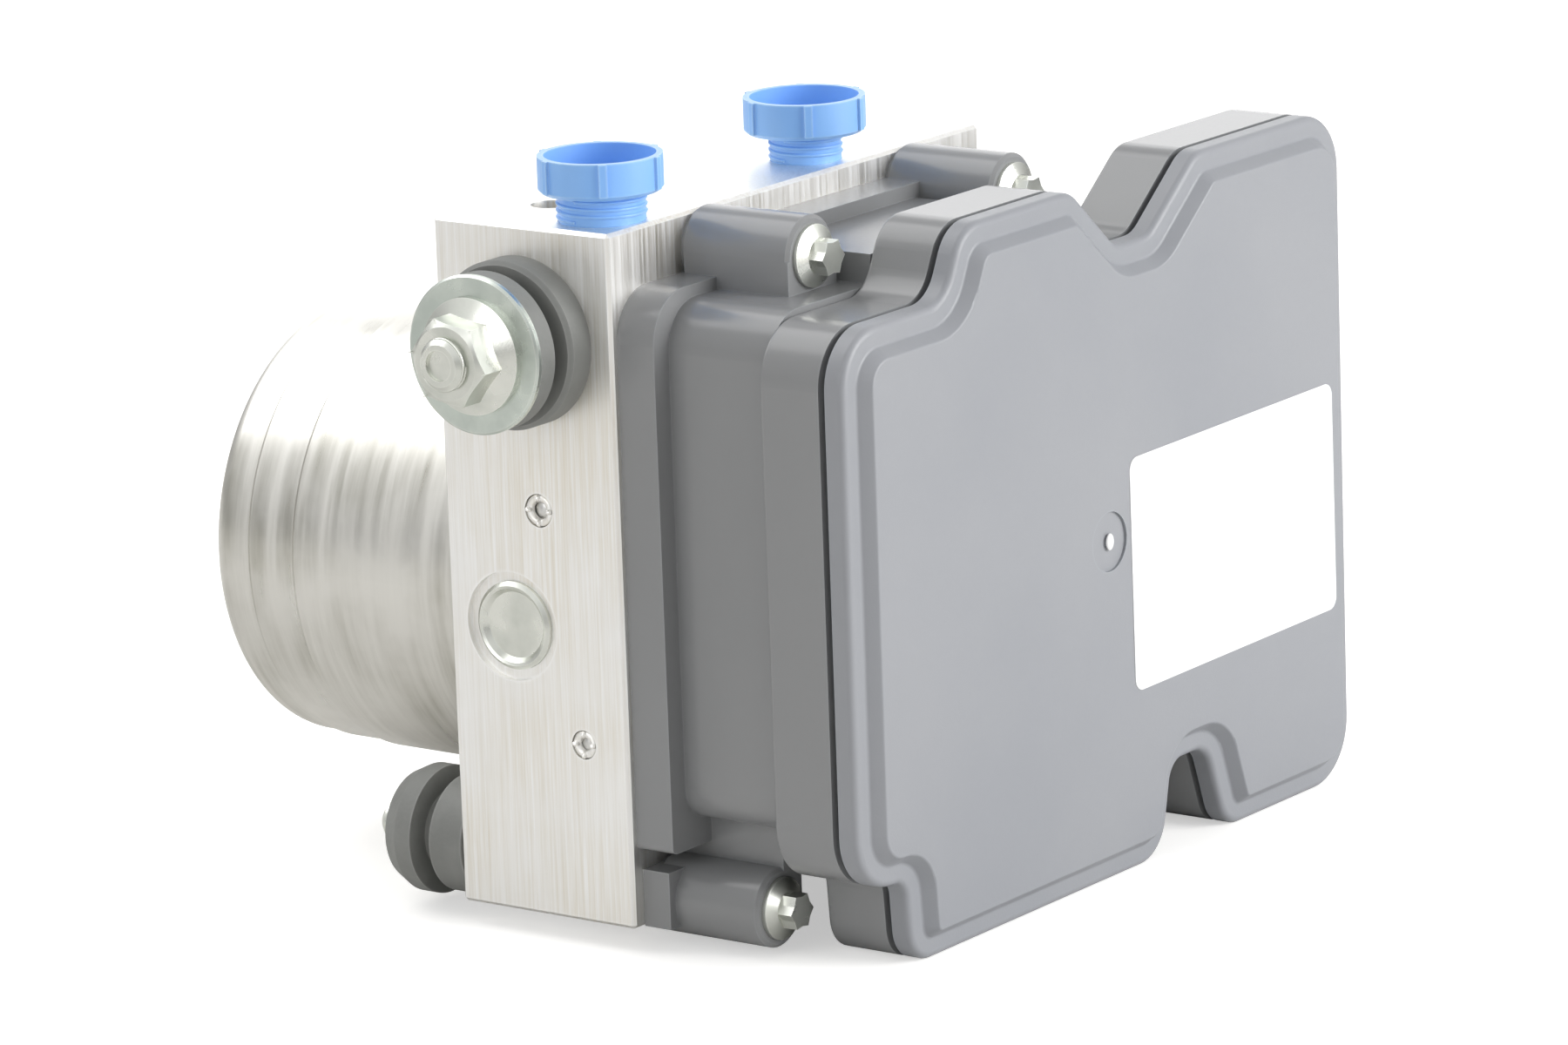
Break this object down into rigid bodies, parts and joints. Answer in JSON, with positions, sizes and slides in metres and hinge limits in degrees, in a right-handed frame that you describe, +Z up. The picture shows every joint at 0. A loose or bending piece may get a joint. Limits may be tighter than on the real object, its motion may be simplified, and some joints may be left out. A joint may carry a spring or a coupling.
{
  "type": "abs brake module",
  "caption": "Anti-lock brake hydraulic unit: machined valve block with pump motor, plugged ports, rubber mounts and an electronic control unit with a raised cover.",
  "frame": {"origin": "middle of the unit's outer box at the level it stands on", "axes": "+X along the cover's width towards its overhang, +Y from the cover to the pump motor, +Z up"},
  "size_m": [0.1426, 0.1234, 0.1083],
  "materials": {
    "block_aluminium": "machined",
    "board_laminate": "solder mask",
    "brush_carbon": "matt",
    "can_steel": "bright zinc plating over drawn steel",
    "chip_plastic": "matt",
    "contact_tin": "tin plated",
    "copper": "enamelled",
    "core_steel": "stamped",
    "cover_plastic": "fine grain",
    "holder_plastic": "matt",
    "housing_plastic": "glass filled, semi-gloss",
    "label_film": "satin film",
    "magnet_ferrite": "matt",
    "plug_plastic": "smooth",
    "rubber_black": "matt",
    "seal_rubber": "matt",
    "spring_steel": "bright",
    "steel_bare": "ground",
    "steel_zinc": "zinc plated"
  },
  "bodies": {
    "unit": {"accumulator_caps": "steel_bare", "accumulator_spring_left": "spring_steel", "accumulator_spring_right": "spring_steel", "board_components": "chip_plastic", "brush_holder": "holder_plastic", "carbon_brushes": "brush_carbon", "circuit_board": "board_laminate", "connector_contacts": "contact_tin", "ecu_cover": "cover_plastic", "ecu_housing": "housing_plastic", "ecu_screws": "steel_zinc", "front_bearing": "steel_bare", "housing_seal": "seal_rubber", "inlet_cartridges": "steel_bare", "label": "label_film", "lower_bush_left": "rubber_black", "lower_bush_right": "rubber_black", "lower_pin_left": "steel_zinc", "lower_pin_right": "steel_zinc", "motor_can": "can_steel", "motor_end_plate": "can_steel", "motor_magnets": "magnet_ferrite", "motor_screws": "steel_zinc", "motor_terminals": "contact_tin", "outlet_cartridges": "steel_bare", "port_plug_inlet": "plug_plastic", "port_plug_wheel": "plug_plastic", "pump_plug_left": "steel_bare", "pump_plug_right": "steel_bare", "pump_sleeve_left": "steel_bare", "pump_sleeve_right": "steel_bare", "pump_spring_left": "spring_steel", "pump_spring_right": "spring_steel", "rear_bearing": "steel_bare", "sealing_balls": "steel_bare", "side_bush": "rubber_black", "side_nut": "steel_zinc", "side_port_plugs": "plug_plastic", "side_stud": "steel_zinc", "side_washer": "steel_zinc", "solenoid_coils": "steel_bare", "valve_block": "block_aluminium"},
    "rotor": {"rotor_core": "core_steel", "rotor_windings": "copper", "commutator": "copper", "motor_shaft": "steel_bare", "eccentric_bearing": "steel_bare"},
    "pump_piston_left": {"pump_piston_left": "steel_bare"},
    "pump_piston_right": {"pump_piston_right": "steel_bare"},
    "accumulator_piston_left": {"accumulator_piston_left": "steel_bare"},
    "accumulator_piston_right": {"accumulator_piston_right": "steel_bare"},
    "inlet_armature_1": {"inlet_armature_1": "steel_bare"},
    "inlet_armature_2": {"inlet_armature_2": "steel_bare"},
    "inlet_armature_3": {"inlet_armature_3": "steel_bare"},
    "inlet_armature_4": {"inlet_armature_4": "steel_bare"},
    "outlet_armature_1": {"outlet_armature_1": "steel_bare"},
    "outlet_armature_2": {"outlet_armature_2": "steel_bare"},
    "outlet_armature_3": {"outlet_armature_3": "steel_bare"},
    "outlet_armature_4": {"outlet_armature_4": "steel_bare"}
  },
  "joints": [
    {"name": "rotor_turn", "type": "hinge", "parent": "unit", "child": "rotor", "pos_m": [-0.0095, 0.00624, 0.0435], "axis": [0, 1, 0], "continuous": true},
    {"name": "pump_stroke_left", "type": "slide", "parent": "unit", "child": "pump_piston_left", "axis": [-1, 0, 0], "range_m": [0, 0.002], "stiffness_N_per_m": 200, "springref_m": -0.01, "deforming": ["pump_spring_left"]},
    {"name": "pump_stroke_right", "type": "slide", "parent": "unit", "child": "pump_piston_right", "axis": [1, 0, 0], "range_m": [0, 0.002], "stiffness_N_per_m": 200, "springref_m": -0.01, "deforming": ["pump_spring_right"]},
    {"name": "accumulator_stroke_left", "type": "slide", "parent": "unit", "child": "accumulator_piston_left", "axis": [0, 0, -1], "range_m": [0, 0.005], "stiffness_N_per_m": 500, "springref_m": -0.01, "deforming": ["accumulator_spring_left"]},
    {"name": "accumulator_stroke_right", "type": "slide", "parent": "unit", "child": "accumulator_piston_right", "axis": [0, 0, -1], "range_m": [0, 0.005], "stiffness_N_per_m": 500, "springref_m": -0.01, "deforming": ["accumulator_spring_right"]},
    {"name": "inlet_valve_1", "type": "slide", "parent": "unit", "child": "inlet_armature_1", "axis": [0, 1, 0], "range_m": [0, 0.0004], "stiffness_N_per_m": 100, "springref_m": -0.01},
    {"name": "inlet_valve_2", "type": "slide", "parent": "unit", "child": "inlet_armature_2", "axis": [0, 1, 0], "range_m": [0, 0.0004], "stiffness_N_per_m": 100, "springref_m": -0.01},
    {"name": "inlet_valve_3", "type": "slide", "parent": "unit", "child": "inlet_armature_3", "axis": [0, 1, 0], "range_m": [0, 0.0004], "stiffness_N_per_m": 100, "springref_m": -0.01},
    {"name": "inlet_valve_4", "type": "slide", "parent": "unit", "child": "inlet_armature_4", "axis": [0, 1, 0], "range_m": [0, 0.0004], "stiffness_N_per_m": 100, "springref_m": -0.01},
    {"name": "outlet_valve_1", "type": "slide", "parent": "unit", "child": "outlet_armature_1", "axis": [0, -1, 0], "range_m": [0, 0.0004], "stiffness_N_per_m": 100, "springref_m": -0.01},
    {"name": "outlet_valve_2", "type": "slide", "parent": "unit", "child": "outlet_armature_2", "axis": [0, -1, 0], "range_m": [0, 0.0004], "stiffness_N_per_m": 100, "springref_m": -0.01},
    {"name": "outlet_valve_3", "type": "slide", "parent": "unit", "child": "outlet_armature_3", "axis": [0, -1, 0], "range_m": [0, 0.0004], "stiffness_N_per_m": 100, "springref_m": -0.01},
    {"name": "outlet_valve_4", "type": "slide", "parent": "unit", "child": "outlet_armature_4", "axis": [0, -1, 0], "range_m": [0, 0.0004], "stiffness_N_per_m": 100, "springref_m": -0.01}
  ]
}
